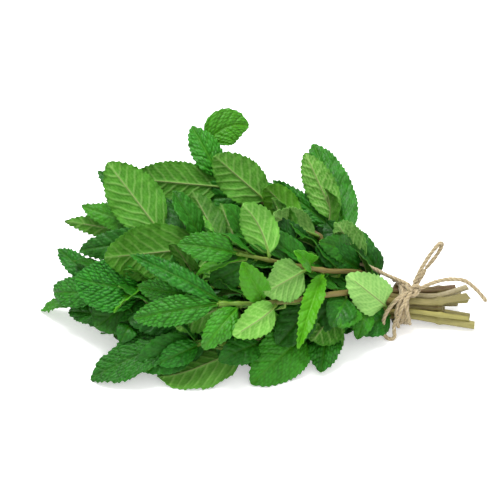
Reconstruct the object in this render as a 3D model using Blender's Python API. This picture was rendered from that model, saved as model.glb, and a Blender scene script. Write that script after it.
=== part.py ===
"""A bunch of fresh mint, tied with jute twine and lying on its side.

Ten leafy stems run through one tie. The numbers below are millimetres and degrees, in the tie's own axes:
X = 0 in the middle of the tie with the cut ends toward +X, Z = 0 on the surface, and -Y toward the front.
The finished bunch is moved to stand with the bottom centre of its bounding box at the origin.
"""

import math

import bpy
from mathutils import Vector

MM = 0.001
LEAF_THICKNESS = 0.6
LEAF_GAP = 0.8
PETIOLE_HALF_WIDTH = 0.9
TIP_HALF_WIDTH = 0.4
OUTLINE_RISE = 0.55
OUTLINE_FALL = 0.75
BLADE_ROWS = (0.0, 0.06, 0.16, 0.3, 0.46, 0.62, 0.78, 0.91, 1.0)
BLADE_COLUMNS = (-1.0, -0.5, 0.0, 0.5, 1.0)
STEM_SIDES = 8
STEM_STEP = 9.0

TIE_CENTRE = (0.0, -0.7, 10.0)
TWINE = 2.0
WRAP_WIDTH = 9.0
WRAP_TURNS = 4
WRAP_INNER = (10.4, 7.6)
WRAP_SIDES = 28

# Each stem: radius at the tie, radius at the tip, its place (Y, Z) in the tie, the points from its cut end to the
# tie, and the points from the tie to its tip.
STEMS = {
    "a": (1.5, 0.9, (0.3, 14), [(33, 3, 17), (18, 1, 13)],
          [(-18, 3, 25), (-38, -11, 37), (-55, -20, 47), (-80, -28, 59)]),
    "b": (1.8, 0.9, (-4.5, 14), [(33, -3, 16), (16, -4, 13)],
          [(-18, -8, 22), (-36, -22, 31), (-60, -36, 37), (-89, -43, 41)]),
    "c": (1.6, 0.9, (5, 14), [(28, 8, 13), (14, 6, 13)], [(-14, 9, 21), (-23, 16, 30), (-31, 27, 39)]),
    "d": (1.7, 0.9, (6.2, 10), [(31, 10, 8), (14, 7, 9)],
          [(-18, 14, 16), (-38, 24, 31), (-64, 38, 42), (-90, 52, 48), (-99, 67, 64)]),
    "e": (1.4, 0.9, (1.5, 10), [(34, 4, 8), (16, 2, 9)],
          [(-30, 5, 22), (-60, 4, 33), (-96, 2, 43), (-116, 6, 46)]),
    "f": (2.0, 1.0, (-5.5, 6), [(36, -10, 3.2), (16, -7, 5)],
          [(-26, -12, 8), (-52, -25, 11), (-80, -37, 13), (-107, -38, 15)]),
    "g": (1.5, 0.9, (-3.2, 10), [(21, -4, 9)],
          [(-30, -4, 17), (-70, -10, 26), (-110, -15, 30), (-146, -12, 24)]),
    "h": (1.2, 0.9, (-7.5, 10), [(33, -9, 6.5), (16, -8.5, 9)],
          [(-12, -9, 14), (-22, -12, 18), (-31, -17, 20)]),
    "i": (1.9, 0.9, (-0.8, 6), [(34, -3, 3), (16, -1.5, 5.5)],
          [(-36, -6, 12), (-74, -20, 16), (-106, -27, 17), (-133, -26, 18)]),
    "j": (1.6, 0.9, (4, 6), [(29, 7, 4), (14, 5, 5.5)],
          [(-26, 14, 12), (-58, 30, 19), (-92, 42, 24), (-124, 44, 26)]),
}

# Each leaf: where along X it leaves its stem, its tip, width, two bow heights, the way the upper side faces
# (degrees from straight up toward the front), fold, margin curl, twist and sideways bow.
LEAVES = {
    "a1": (-80, (-108, -29, 65), 14, (4, 5), 40, 12, -10, 10, 0),
    "a2": (-66, (-78, -14, 77), 17, (4, 3), -125, 10, -10, 0, 3),
    "a3": (-50, (-68, -9, 58), 14, (4, 6), 50, 5, -20, 0, 0),
    "a4": (-49, (-62, -40, 43), 13, (-2, -2), -120, 6, -20, 0, 0),
    "a5": (-40, (-52, -52, 22), 10, (9, 5), 30, 20, 10, 0, 0),
    "b1": (-87, (-127, -32, 43), 12, (3, 4), 50, 12, -10, 0, 0),
    "b2": (-89, (-129, -42, 32), 12, (7, 5), 50, 8, -10, 0, 0),
    "b3": (-86, (-109, -43, 27), 15, (4, 4), -120, 5, -10, 0, 0),
    "b4": (-80, (-96, -57, 26), 14, (9, 10), 50, 0, -30, 0, 0),
    "b5": (-68, (-78, -39, 62), 13, (5, 5), 60, 20, 0, 0, 0),
    "b6": (-64, (-82, -58, 34), 15, (-6, -4), -115, 5, -20, 0, 0),
    "c1": (-31, (-47, 48, 67), 16, (0, 0), -125, 8, -10, 0, 0),
    "c2": (-20, (-42, 67, 61), 24, (-2, 1), 50, 8, -10, 0, 0),
    "c3": (-22, (-41, -1, 47), 14, (5, 5), 50, 8, -10, 0, 0),
    "c4": (-29, (-63, 46, 52), 10, (-3, 0), 55, 5, -10, 0, 0),
    "d1": (-98, (-75, 74, 67), 17, (2, 2), 60, 5, -10, 0, 0),
    "d2": (-87, (-134, 40, 57), 22, (3, 4), -125, 5, -10, 0, 0),
    "d3": (-66, (-92, 41, 66), 21, (2, 3), -125, 5, -10, 0, 0),
    "d4": (-37, (-58, 8, 53), 17, (5, 5), -125, 5, -20, 0, 0),
    "d5": (-92, (-100, 68, 76), 12, (8, 4), 50, 5, -10, 0, 0),
    "e1": (-116, (-144, 31, 72), 26, (0, 2), -125, 5, -10, 0, 0),
    "e2": (-111, (-158, 31, 46), 14, (0, 2), 50, 5, -10, 0, 0),
    "e3": (-104, (-167, 30, 38), 14, (9, 6), -120, 5, -10, 0, 0),
    "e4": (-96, (-143, -20, 51), 28, (6, 6), -125, 5, -10, 0, 0),
    "f1": (-107, (-150, -49, 0.7), 24, (3, 4), 8, 5, -10, 0, 0),
    "f2": (-78, (-118, -51, 3.7), 27, (5, 5), 190, 5, -10, 0, 0),
    "f3": (-48, (-74, -53, 1.4), 24, (10, 6), 50, 5, -10, 0, 0),
    "f4": (-37, (-41, -46, 3), 16, (4, 4), 20, 5, -10, 0, 0),
    "f5": (-98, (-147, -20, 6), 10, (5, 4), -35, 5, -10, 0, 0),
    "g1": (-146, (-171, -4, 19), 15, (5, 5), 50, 5, -10, 0, 0),
    "g2": (-140, (-179, 6, 0.7), 14, (3, 4), 10, 5, -10, 0, 0),
    "g3": (-126, (-160, -17, 34), 20, (9, 9), 45, 5, -10, 0, 0),
    "g4": (-128, (-149, -25, 14), 20, (1, 0), 50, 5, -10, 0, 0),
    "g5": (-120, (-146, 22, 16), 18, (5, 5), 0, 5, -10, 0, 0),
    "h1": (-31, (-45, -38, 15), 18, (2, 2), -125, 5, -10, 0, 0),
    "h2": (-26, (-32, -36, 22), 13, (4, 4), 50, 5, -10, 0, 0),
    "h3": (-9, (-23, -21, 32), 14, (-8, -4), -125, 5, -10, 0, 0),
    "h4": (-17, (-23, -27, 8), 11, (4, 6), 50, 5, -10, 0, 0),
    "i1": (-131, (-136, -36, 13), 10, (6, 5), 50, 5, -10, 0, 0),
    "j1": (-34, (-50, 58, 18), 22, (3, 6), -40, 5, -10, 0, 0),
    "j2": (-56, (-74, 66, 36), 22, (6, 6), -30, 5, -10, 0, 0),
    "j3": (-60, (-92, 58, 0.7), 24, (6, 6), -20, 5, -10, 0, 0),
    "j4": (-90, (-118, 62, 40), 22, (6, 6), -40, 5, -10, 0, 0),
    "j5": (-92, (-128, 52, 0.7), 22, (6, 6), -20, 5, -10, 0, 0),
    "j6": (-123, (-160, 46, 20), 20, (5, 5), -30, 5, -10, 0, 0),
}

# Free stretches of twine: the points each one runs through.
CORDS = {
    "twine_ear_up": [(6, -1, 22), (8.5, 1.5, 27), (12.5, 5, 33), (16, 7, 37.5), (18.5, 8.5, 39.5),
                     (19.6, 9.5, 37.5), (17, 8.5, 32), (12, 6, 26)],
    "twine_ear_low": [(1, -6, 20), (-5, -12, 18), (-9, -15, 12), (-9.5, -17, 5), (-7, -18, 1.3),
                      (-4, -18, 2), (-4, -15, 7), (-2, -14, 12)],
    "twine_tail_right": [(8, -3, 20), (15, -3, 24), (22, -3, 26), (30, -4, 26), (36, -6, 22), (41, -9, 17)],
    "twine_tail_left": [(4, -2, 21.6), (0, 0, 22.6), (-7, 2, 24.8), (-17, 5, 28.5), (-24, 7, 29)],
}


def new_material(name, colour, roughness):
    material = bpy.data.materials.new(name)
    material.use_nodes = True
    shader = material.node_tree.nodes["Principled BSDF"]
    shader.inputs["Base Color"].default_value = (*colour, 1.0)
    shader.inputs["Roughness"].default_value = roughness
    material.diffuse_color = (*colour, 1.0)
    return material


def smooth_path(points, step):
    """Points about one step apart along a Catmull-Rom curve through the given ones."""
    knots = [Vector(p) for p in points]
    knots = [2 * knots[0] - knots[1]] + knots + [2 * knots[-1] - knots[-2]]
    path = []
    for p0, p1, p2, p3 in zip(knots, knots[1:], knots[2:], knots[3:]):
        count = max(1, round((p2 - p1).length / step))
        for k in range(count):
            t = k / count
            bend = 2 * p0 - 5 * p1 + 4 * p2 - p3
            skew = -p0 + 3 * p1 - 3 * p2 + p3
            path.append(0.5 * (2 * p1 + (p2 - p0) * t + bend * t**2 + skew * t**3))
    path.append(knots[-2])
    return path


def mesh_object(name, points, faces, material):
    mesh = bpy.data.meshes.new(name)
    mesh.from_pydata([Vector(p) * MM for p in points], [], faces)
    mesh.materials.append(material)
    made = bpy.data.objects.new(name, mesh)
    bpy.context.scene.collection.objects.link(made)
    made.parent = origin
    return made


def swept_tube(name, path, radii, sides, material):
    """A capped round tube along a path, without twist."""
    points, faces = [], []
    side = Vector((0, 0, 1))
    for k, centre in enumerate(path):
        along = (path[min(k + 1, len(path) - 1)] - path[max(k - 1, 0)]).normalized()
        side = (side - along * side.dot(along)).normalized()
        across = along.cross(side)
        for j in range(sides):
            turn = 2 * math.pi * j / sides
            points.append(centre + radii[k] * (math.cos(turn) * side + math.sin(turn) * across))
    for k in range(len(path) - 1):
        for j in range(sides):
            here = k * sides
            after = (j + 1) % sides
            faces.append((here + j, here + after, here + sides + after, here + sides + j))
    faces.append(tuple(reversed(range(sides))))
    faces.append(tuple(range((len(path) - 1) * sides, len(path) * sides)))
    return mesh_object(name, points, faces, material)


def stem_knots(key):
    """Every stem runs straight through the tie."""
    (y, z), cut_side, leafy_side = STEMS[key][2:]
    return cut_side + [(5, y, z), (-5, y, z)] + leafy_side


def build_stem(key, material):
    base_radius, tip_radius = STEMS[key][:2]
    path = smooth_path(stem_knots(key), STEM_STEP)
    far = min(p.x for p in path)
    radii = [base_radius + (tip_radius - base_radius) * max(0.0, p.x / far) for p in path]
    swept_tube("stem_" + key, path, radii, STEM_SIDES, material)


def stem_place(key, x):
    """The stem's axis point, direction and radius where it passes the given X."""
    base_radius, tip_radius = STEMS[key][:2]
    path = smooth_path(stem_knots(key), 1.0)
    far = min(p.x for p in path)
    k = min(range(1, len(path)), key=lambda i: abs(path[i].x - x))
    along = (path[k] - path[k - 1]).normalized()
    return path[k], along, base_radius + (tip_radius - base_radius) * max(0.0, path[k].x / far)


def leaf_base(key, x, tip):
    """The leaf starts just clear of the stem's side or, at the stem's end, just beyond it."""
    axis, along, radius = stem_place(key, x)
    if x == STEMS[key][4][-1][0]:
        return axis + along * LEAF_GAP
    out = tip - axis
    out = (out - along * out.dot(along)).normalized()
    return axis + out * (radius + LEAF_GAP)


def outline(v):
    """Half width along the blade, 1 at its widest."""
    t = max(0.0, (v - 0.05) / 0.95)
    peak = OUTLINE_RISE / (OUTLINE_RISE + OUTLINE_FALL)
    most = peak**OUTLINE_RISE * (1 - peak) ** OUTLINE_FALL
    return t**OUTLINE_RISE * (1 - t) ** OUTLINE_FALL / most


def blade(base, tip, width, bows, face, fold, curl, twist, sway):
    """A function of (u, v) giving points of the blade's middle surface, u across from -1 to 1, v from base to tip."""
    chord = tip - base
    length = chord.length
    along = chord / length
    up = Vector((0, -math.sin(math.radians(face)), math.cos(math.radians(face))))
    up = (up - along * up.dot(along)).normalized()
    side = up.cross(along)
    first = base + 0.35 * chord + up * bows[0] + side * sway
    second = base + 0.7 * chord + up * bows[1] + side * sway

    def at(u, v):
        r = 1 - v
        centre = r**3 * base + 3 * r * r * v * first + 3 * r * v * v * second + v**3 * tip
        ahead = r * r * (first - base) + 2 * r * v * (second - first) + v * v * (tip - second)
        ahead.normalize()
        turn = math.radians(twist) * (v - 0.5)
        level = (side - ahead * side.dot(ahead)).normalized()
        normal = ahead.cross(level)
        across = level * math.cos(turn) + normal * math.sin(turn)
        normal = ahead.cross(across)
        reach = abs(u) * max(0.5 * width * outline(v), PETIOLE_HALF_WIDTH if v < 0.5 else TIP_HALF_WIDTH)
        rise = math.radians(fold + 0.5 * curl * abs(u))
        return centre + across * math.copysign(reach * math.cos(rise), u) + normal * reach * math.sin(rise)

    return at


def build_leaf(name, material):
    x, tip, width, bows, face, fold, curl, twist, sway = LEAVES[name]
    tip = Vector(tip)
    base = leaf_base(name[0], x, tip)
    at = blade(base, tip, width, bows, face, fold, curl, twist, sway)
    points = [at(u, v) for v in BLADE_ROWS for u in BLADE_COLUMNS]
    columns = len(BLADE_COLUMNS)
    faces = []
    for k in range(len(BLADE_ROWS) - 1):
        for j in range(columns - 1):
            here = k * columns + j
            faces.append((here, here + 1, here + columns + 1, here + columns))
    leaf = mesh_object("leaf_" + name, points, faces, material)
    shell = leaf.modifiers.new("thickness", "SOLIDIFY")
    shell.thickness = LEAF_THICKNESS * MM
    shell.offset = 0
    shell.use_even_offset = False


def build_wrap(material):
    """The turns of twine round the stems, as one ribbed oval ring."""
    profile = [(-0.5 * WRAP_WIDTH, 0.0)]
    pitch = WRAP_WIDTH / WRAP_TURNS
    for k in range(WRAP_TURNS):
        left = -0.5 * WRAP_WIDTH + k * pitch
        profile += [(left + 0.02 * pitch, 0.55 * TWINE), (left + 0.3 * pitch, TWINE), (left + 0.7 * pitch, TWINE)]
    profile += [(0.5 * WRAP_WIDTH - 0.02 * pitch, 0.55 * TWINE), (0.5 * WRAP_WIDTH, 0.0)]
    points, faces = [], []
    count = len(profile)
    for k in range(WRAP_SIDES):
        turn = 2 * math.pi * k / WRAP_SIDES
        for x, height in profile:
            y = (WRAP_INNER[0] + height) * math.cos(turn)
            z = (WRAP_INNER[1] + height) * math.sin(turn)
            points.append(Vector(TIE_CENTRE) + Vector((x, y, z)))
        after = (k + 1) % WRAP_SIDES
        for j in range(count):
            nxt = (j + 1) % count
            faces.append((k * count + j, after * count + j, after * count + nxt, k * count + nxt))
    mesh_object("twine_wrap", points, faces, material)


def build_cord(name, material):
    """A free stretch of twine as a round tube along a line."""
    path = smooth_path(CORDS[name], 2.5 * TWINE)
    line = bpy.data.curves.new(name, "CURVE")
    line.dimensions = "3D"
    line.bevel_depth = 0.5 * TWINE * MM
    line.bevel_resolution = 2
    line.use_fill_caps = True
    spline = line.splines.new("POLY")
    spline.points.add(len(path) - 1)
    for point, place in zip(spline.points, path):
        point.co = (*(place * MM), 1.0)
    line.materials.append(material)
    made = bpy.data.objects.new(name, line)
    bpy.context.scene.collection.objects.link(made)
    made.parent = origin


for old in list(bpy.data.objects):
    bpy.data.objects.remove(old)

origin = bpy.data.objects.new("bunch", None)
bpy.context.scene.collection.objects.link(origin)

upper = new_material("mint_leaf", (0.05, 0.19, 0.02), 0.45)
bark = new_material("mint_stem", (0.28, 0.25, 0.09), 0.5)
jute = new_material("jute_twine", (0.52, 0.36, 0.19), 0.9)

def stand_on_origin():
    """Move the bunch so that the box round its leaves, stems and wraps stands on the origin; free cords don't count."""
    bpy.context.view_layer.update()
    graph = bpy.context.evaluated_depsgraph_get()
    corners = []
    for made in origin.children:
        if made.name in CORDS:
            continue
        evaluated = made.evaluated_get(graph)
        mesh = evaluated.to_mesh()
        corners += [evaluated.matrix_world @ vertex.co for vertex in mesh.vertices]
        evaluated.to_mesh_clear()
    low = [min(c[k] for c in corners) for k in range(3)]
    high = [max(c[k] for c in corners) for k in range(3)]
    origin.location = (-0.5 * (low[0] + high[0]), -0.5 * (low[1] + high[1]), -low[2])


for key in STEMS:
    build_stem(key, bark)
for name in LEAVES:
    build_leaf(name, upper)
build_wrap(jute)
for name in CORDS:
    build_cord(name, jute)
stand_on_origin()
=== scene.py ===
import math

import bmesh
import bpy
import numpy as np
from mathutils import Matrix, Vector


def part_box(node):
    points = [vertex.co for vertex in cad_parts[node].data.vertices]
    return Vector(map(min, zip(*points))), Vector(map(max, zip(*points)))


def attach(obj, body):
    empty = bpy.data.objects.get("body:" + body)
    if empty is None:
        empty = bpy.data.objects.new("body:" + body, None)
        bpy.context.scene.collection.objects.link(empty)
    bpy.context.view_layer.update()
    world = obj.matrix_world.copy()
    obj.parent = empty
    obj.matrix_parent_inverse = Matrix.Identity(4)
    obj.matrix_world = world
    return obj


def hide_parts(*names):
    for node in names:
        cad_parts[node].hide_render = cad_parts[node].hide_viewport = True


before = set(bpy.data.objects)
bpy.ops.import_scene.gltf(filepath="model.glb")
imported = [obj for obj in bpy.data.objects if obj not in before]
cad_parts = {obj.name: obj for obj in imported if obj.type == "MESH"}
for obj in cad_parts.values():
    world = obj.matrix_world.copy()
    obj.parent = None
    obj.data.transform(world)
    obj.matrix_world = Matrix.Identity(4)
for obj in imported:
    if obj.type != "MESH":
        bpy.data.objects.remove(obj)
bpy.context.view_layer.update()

mm = 0.001

# All places below are millimetres in the tie's own axes: X = 0 in the middle of the tie with the cut
# ends toward +X, -Y toward the front and +Z up, with the tie's middle 10 above Z = 0. tieShift takes
# them to the frame.
tieMiddle = np.array((0.0, -0.7, 10.0))
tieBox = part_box("twine_wrap")
tieShift = 0.5 * np.array(tieBox[0] + tieBox[1]) / mm - tieMiddle


def toFrame(points):
    return (np.asarray(points, float) + tieShift) * mm


# Helpers for shapes
def unit(vectors):
    return vectors / np.linalg.norm(vectors, axis=-1, keepdims=True)


def smoothStep(low, high, value):
    t = np.clip((value - low) / (high - low), 0, 1)
    return t * t * (3 - 2 * t)


def smoothPath(knots, step):
    p = np.array(knots, float)
    p = np.vstack([2 * p[0] - p[1], p, 2 * p[-1] - p[-2]])
    path = []
    for a, b, c, d in zip(p, p[1:], p[2:], p[3:]):   # one Catmull-Rom span from b to c
        count = max(1, round(float(np.linalg.norm(c - b)) / step))
        for t in np.arange(count) / count:
            bend = 2 * a - 5 * b + 4 * c - d
            skew = -a + 3 * b - 3 * c + d
            path.append(0.5 * (2 * b + (c - a) * t + bend * t**2 + skew * t**3))
    path.append(p[-2])
    return np.array(path)


def around(centre, angle, radius, side, across):
    return centre + radius[:, None] * (np.cos(angle)[:, None] * side + np.sin(angle)[:, None] * across)


def distances(path):
    return np.concatenate([[0], np.cumsum(np.linalg.norm(np.diff(path, axis=0), axis=1))])


def ringAxes(path, start=(0, 0, 1)):
    # one direction along the path and two across it at each point, carried on without twist
    along = unit(np.gradient(path, axis=0))
    side = np.array(start, float)
    sides = []
    for direction in along:
        side = unit(side - direction * (side @ direction))
        sides.append(side)
    sides = np.array(sides)
    return along, sides, np.cross(along, sides)


def gridMesh(bm, columns, rows, shape, tube=False):
    # a grid shaped by shape(u, v), u across from -1 to 1 and v from 0 to 1; a tube is welded and capped
    part = bmesh.new()
    bmesh.ops.create_grid(part, x_segments=columns, y_segments=rows, size=1)
    mesh = bpy.data.meshes.new("part")
    part.to_mesh(mesh)
    part.free()
    spots = np.empty(len(mesh.vertices) * 3, np.float32)
    mesh.vertices.foreach_get("co", spots)
    spots = spots.reshape(-1, 3).astype(float)
    points, notes = shape(spots[:, 0], (spots[:, 1] + 1) / 2)
    mesh.vertices.foreach_set("co", toFrame(points).astype(np.float32).ravel())
    for name, values in notes.items():
        layer = mesh.attributes.new(name, "FLOAT_VECTOR", "POINT")
        layer.data.foreach_set("vector", np.asarray(values, np.float32).ravel())
    mesh.update()
    if tube:
        part = bmesh.new()
        part.from_mesh(mesh)
        bmesh.ops.remove_doubles(part, verts=part.verts[:], dist=2e-6)
        rims = [e for e in part.edges if e.is_boundary]
        bmesh.ops.holes_fill(part, edges=rims, sides=0)
        bmesh.ops.recalc_face_normals(part, faces=part.faces[:])
        part.to_mesh(mesh)
        part.free()
    bm.from_mesh(mesh)
    bpy.data.meshes.remove(mesh)


def finishPiece(name, bm, materials, replaced=()):
    mesh = bpy.data.meshes.new(name)
    bm.to_mesh(mesh)
    bm.free()
    mesh.shade_smooth()
    for material in materials:
        mesh.materials.append(material)
    piece = bpy.data.objects.new(name, mesh)
    bpy.context.scene.collection.objects.link(piece)
    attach(piece, "root")
    if replaced:
        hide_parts(*replaced)
    return piece


# Helpers for materials
def addNode(tree, kind, inputs=None, **settings):
    made = tree.nodes.new("ShaderNode" + kind)
    for name, value in settings.items():
        setattr(made, name, value)
    for socket, value in (inputs or {}).items():
        if isinstance(value, bpy.types.NodeSocket):
            tree.links.new(value, made.inputs[socket])
        else:
            made.inputs[socket].default_value = value
    return made


def sums(tree, operation, a, b=0.0, clamp=False):
    return addNode(tree, "Math", {0: a, 1: b}, operation=operation, use_clamp=clamp).outputs[0]


def mixed(tree, factor, a, b):
    made = addNode(tree, "Mix", data_type="RGBA", clamp_factor=True)
    for socket, value in ((0, factor), (6, a), (7, b)):
        if isinstance(value, bpy.types.NodeSocket):
            tree.links.new(value, made.inputs[socket])
        else:
            made.inputs[socket].default_value = value if socket == 0 else (*value, 1)
    return made.outputs[2]


def ranged(tree, value, span, to=(0.0, 1.0)):
    return addNode(tree, "MapRange", {0: value, 1: span[0], 2: span[1], 3: to[0], 4: to[1]}).outputs[0]


def scaled(tree, colour, factor):
    return addNode(tree, "VectorMath", {0: colour, 3: factor}, operation="SCALE").outputs[0]


def newGroup(name, inputs, outputs):
    group = bpy.data.node_groups.new(name, "ShaderNodeTree")
    for socket, value in inputs.items():
        made = group.interface.new_socket(socket, in_out="INPUT", socket_type="NodeSocketFloat")
        made.default_value = value
    for socket in outputs:
        group.interface.new_socket(socket, in_out="OUTPUT", socket_type="NodeSocketFloat")
    return group, group.nodes.new("NodeGroupInput")


def closeGroup(group, results):
    out = group.nodes.new("NodeGroupOutput")
    for name, socket in results.items():
        group.links.new(socket, out.inputs[name])
    return group


def placeGroup(tree, group, values):
    made = tree.nodes.new("ShaderNodeGroup")
    made.node_tree = group
    for name, value in values.items():
        made.inputs[name].default_value = value
    return made


def newMaterial(name, **constants):
    material = bpy.data.materials.new(name)
    material.use_nodes = True
    shader = material.node_tree.nodes["Principled BSDF"]
    for socket, value in constants.items():
        shader.inputs[socket.replace("_", " ")].default_value = value
    return material, material.node_tree, shader


def relief(tree, shader, height, strength, depth):
    bump = addNode(tree, "Bump", {"Height": height, "Strength": strength, "Distance": depth})
    tree.links.new(bump.outputs[0], shader.inputs["Normal"])


def attributeNode(tree, name):
    return addNode(tree, "Attribute", attribute_name=name).outputs["Vector"]


def attributeParts(tree, name):
    return addNode(tree, "SeparateXYZ", {0: attributeNode(tree, name)}).outputs


# Blade detail, read from the attributes that every leaf carries:
# blade = across, along and a number of its own; veins = midrib, side veins, net of veins and grooves;
# body = blisters (the mask for the painted highlight on blister tops and the painted shade in their hollows),
# brightness (the leaf's own tone, and painted light on leaves that light shines through), yellow;
# tone = paleness of the underside
def bladeDetail():
    group, given = newGroup("bladeDetail", {"Mottle Size": 0.25, "Grain Size": 2.2},
                            ("Mottle", "Midrib", "Side Veins", "Vein Net And Groove Shade", "Relief", "Bright", "Yellow", "Pale",
                             "Height"))
    place = attributeNode(group, "blade")
    veins, body = attributeParts(group, "veins"), attributeParts(group, "body")
    mottle = addNode(group, "TexNoise", {"Vector": place, "Scale": given.outputs[0], "Detail": 4.0,
                                         "Roughness": 0.6})
    grain = addNode(group, "TexNoise", {"Vector": place, "Scale": given.outputs[1], "Detail": 3.0})
    skin = addNode(group, "TexVoronoi", {"Vector": place, "Scale": 1.15}, feature="DISTANCE_TO_EDGE")
    cells = sums(group, "SMOOTH_MIN", skin.outputs["Distance"], 0.25)
    grains = sums(group, "MULTIPLY", grain.outputs[0], 0.5)
    return closeGroup(group, {
        "Mottle": mottle.outputs[0], "Midrib": veins[0], "Side Veins": veins[1], "Vein Net And Groove Shade": veins[2],
        "Relief": body[0], "Bright": body[1], "Yellow": body[2], "Pale": attributeParts(group, "tone")[0],
        "Height": sums(group, "ADD", grains, sums(group, "MULTIPLY", cells, 1.6))})


# Streaks that run along stems and twine, read from run = round it, along it, a number of its own
def streakDetail():
    group, given = newGroup("streakDetail", {"Fineness": 2.0, "Stretch": 0.12}, ("Streak", "Fleck"))
    parts = attributeParts(group, "run")
    slow = sums(group, "MULTIPLY", parts[1], given.outputs[1])
    drawn = addNode(group, "CombineXYZ", {0: parts[0], 1: slow, 2: parts[2]}).outputs[0]
    streak = addNode(group, "TexNoise", {"Vector": drawn, "Scale": given.outputs[0], "Detail": 5.0,
                                         "Roughness": 0.65})
    fleck = addNode(group, "TexNoise", {"Vector": attributeNode(group, "run"), "Scale": 0.9, "Detail": 3.0})
    return closeGroup(group, {"Streak": streak.outputs[0], "Fleck": fleck.outputs[0]})


# Materials
# layers: a mask of bladeDetail, how strongly it shows, its colour
upperPaint = {
    "deep": (0.005, 0.084, 0.001), "fresh": (0.014, 0.190, 0.002), "shine": 0.32, "mottle": 0.22, "grain": 2.4,
    "rough": (0.36, 0.52), "relief": 0.55,
    # painted light and shade on the upper side: the Relief layer paints the blister tops lighter as a painted
    # highlight, and the net layer paints the grooves between the blisters dark as painted shade
    "layers": (("Relief", 0.55, (0.045, 0.310, 0.026)), ("Vein Net And Groove Shade", 0.75, (0.005, 0.084, 0.001)),
               ("Side Veins", 0.35, (0.060, 0.240, 0.010)), ("Midrib", 0.75, (0.060, 0.240, 0.010)),
               ("Yellow", 1.0, (0.110, 0.380, 0.003))),
}
underPaint = {
    "deep": (0.042, 0.205, 0.009), "fresh": (0.090, 0.325, 0.024), "shine": 0.2, "mottle": 0.3, "grain": 3.0,
    "rough": (0.5, 0.68), "relief": 0.5,
    # painted shade on the underside: the Relief layer darkens the hollows between the raised veins; the pale
    # vein layers are the veins' own colour
    "layers": (("Pale", 0.85, (0.240, 0.470, 0.120)), ("Relief", 0.35, (0.042, 0.205, 0.009)),
               ("Vein Net And Groove Shade", 0.3, (0.340, 0.580, 0.160)), ("Side Veins", 0.55, (0.340, 0.580, 0.160)),
               ("Midrib", 0.9, (0.340, 0.580, 0.160)), ("Yellow", 1.0, (0.110, 0.380, 0.003))),
}


def mintBlade(name, detail, paint):
    material, tree, shader = newMaterial(name, Specular_IOR_Level=paint["shine"])
    masks = placeGroup(tree, detail, {"Mottle Size": paint["mottle"], "Grain Size": paint["grain"]}).outputs
    colour = mixed(tree, ranged(tree, masks["Mottle"], (0.35, 0.68)), paint["deep"], paint["fresh"])
    for mask, share, layer in paint["layers"]:
        colour = mixed(tree, sums(tree, "MULTIPLY", masks[mask], share), colour, layer)
    # partly painted light: the colour is scaled by the leaf's brightness, which is partly its own tone and
    # partly light shining through it
    tree.links.new(scaled(tree, colour, masks["Bright"]), shader.inputs["Base Color"])
    tree.links.new(ranged(tree, masks["Mottle"], (0.3, 0.7), paint["rough"]), shader.inputs["Roughness"])
    relief(tree, shader, masks["Height"], paint["relief"], 0.0003)
    return material


stemPaint = {
    "green": (0.160, 0.330, 0.030), "olive": (0.360, 0.330, 0.085), "purple": (0.135, 0.065, 0.030),
    "grey": (0.440, 0.380, 0.250), "dark": (0.070, 0.060, 0.015),
}


def mintStem(streaks):
    # bark = how green the skin is, how purple it is (together with the painted shade of the stems inside the
    # bunch), and how grey it is
    material, tree, shader = newMaterial("mintStem", Specular_IOR_Level=0.45)
    masks = placeGroup(tree, streaks, {"Fineness": 1.6, "Stretch": 0.1}).outputs
    green, purple, grey = attributeParts(tree, "bark")
    streaked = sums(tree, "ADD", ranged(tree, masks["Streak"], (0.38, 0.66)), 0.45)
    flecked = sums(tree, "ADD", masks["Fleck"], 0.2)
    colour = mixed(tree, green, stemPaint["olive"], stemPaint["green"])
    colour = mixed(tree, sums(tree, "MULTIPLY", purple, streaked, True), colour, stemPaint["purple"])
    colour = mixed(tree, sums(tree, "MULTIPLY", grey, flecked, True), colour, stemPaint["grey"])
    colour = mixed(tree, ranged(tree, masks["Streak"], (0.3, 0.5), (0.4, 0.0)), colour, stemPaint["dark"])
    tree.links.new(colour, shader.inputs["Base Color"])
    tree.links.new(ranged(tree, masks["Streak"], (0.3, 0.7), (0.5, 0.34)), shader.inputs["Roughness"])
    relief(tree, shader, masks["Streak"], 0.5, 0.0003)
    return material


jutePaint = {"straw": (0.470, 0.365, 0.200), "pale": (0.640, 0.535, 0.345), "brown": (0.180, 0.120, 0.050)}


def juteTwine(streaks):
    # ply x = how deep in the groove between two strands, where the twine is painted darker as painted shade
    material, tree, shader = newMaterial("juteTwine", Specular_IOR_Level=0.15, Sheen_Weight=0.3)
    masks = placeGroup(tree, streaks, {"Fineness": 2.6, "Stretch": 0.16}).outputs
    groove = sums(tree, "MULTIPLY", attributeParts(tree, "ply")[0], 0.7)
    dark = ranged(tree, masks["Streak"], (0.48, 0.3), (0.0, 0.75))
    colour = mixed(tree, ranged(tree, masks["Streak"], (0.36, 0.66)), jutePaint["straw"], jutePaint["pale"])
    colour = mixed(tree, dark, colour, jutePaint["brown"])
    # painted shade in the grooves between the strands
    colour = mixed(tree, groove, colour, jutePaint["brown"])
    tree.links.new(colour, shader.inputs["Base Color"])
    tree.links.new(ranged(tree, masks["Fleck"], (0.3, 0.7), (0.8, 0.95)), shader.inputs["Roughness"])
    relief(tree, shader, masks["Streak"], 0.9, 0.0004)
    return material


detail = bladeDetail()
streaks = streakDetail()
leafSkins = [mintBlade("mintUpper", detail, upperPaint), mintBlade("mintUnder", detail, underPaint)]
stemSkin = mintStem(streaks)
twineSkin = juteTwine(streaks)
print("materials ready")

# Camera
cameraWays = {"aim": (-74.4, -5.1, 45.0), "away": 800.0, "elevation": 35.0, "lens": 120.0, "sensor": 36.0}


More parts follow.
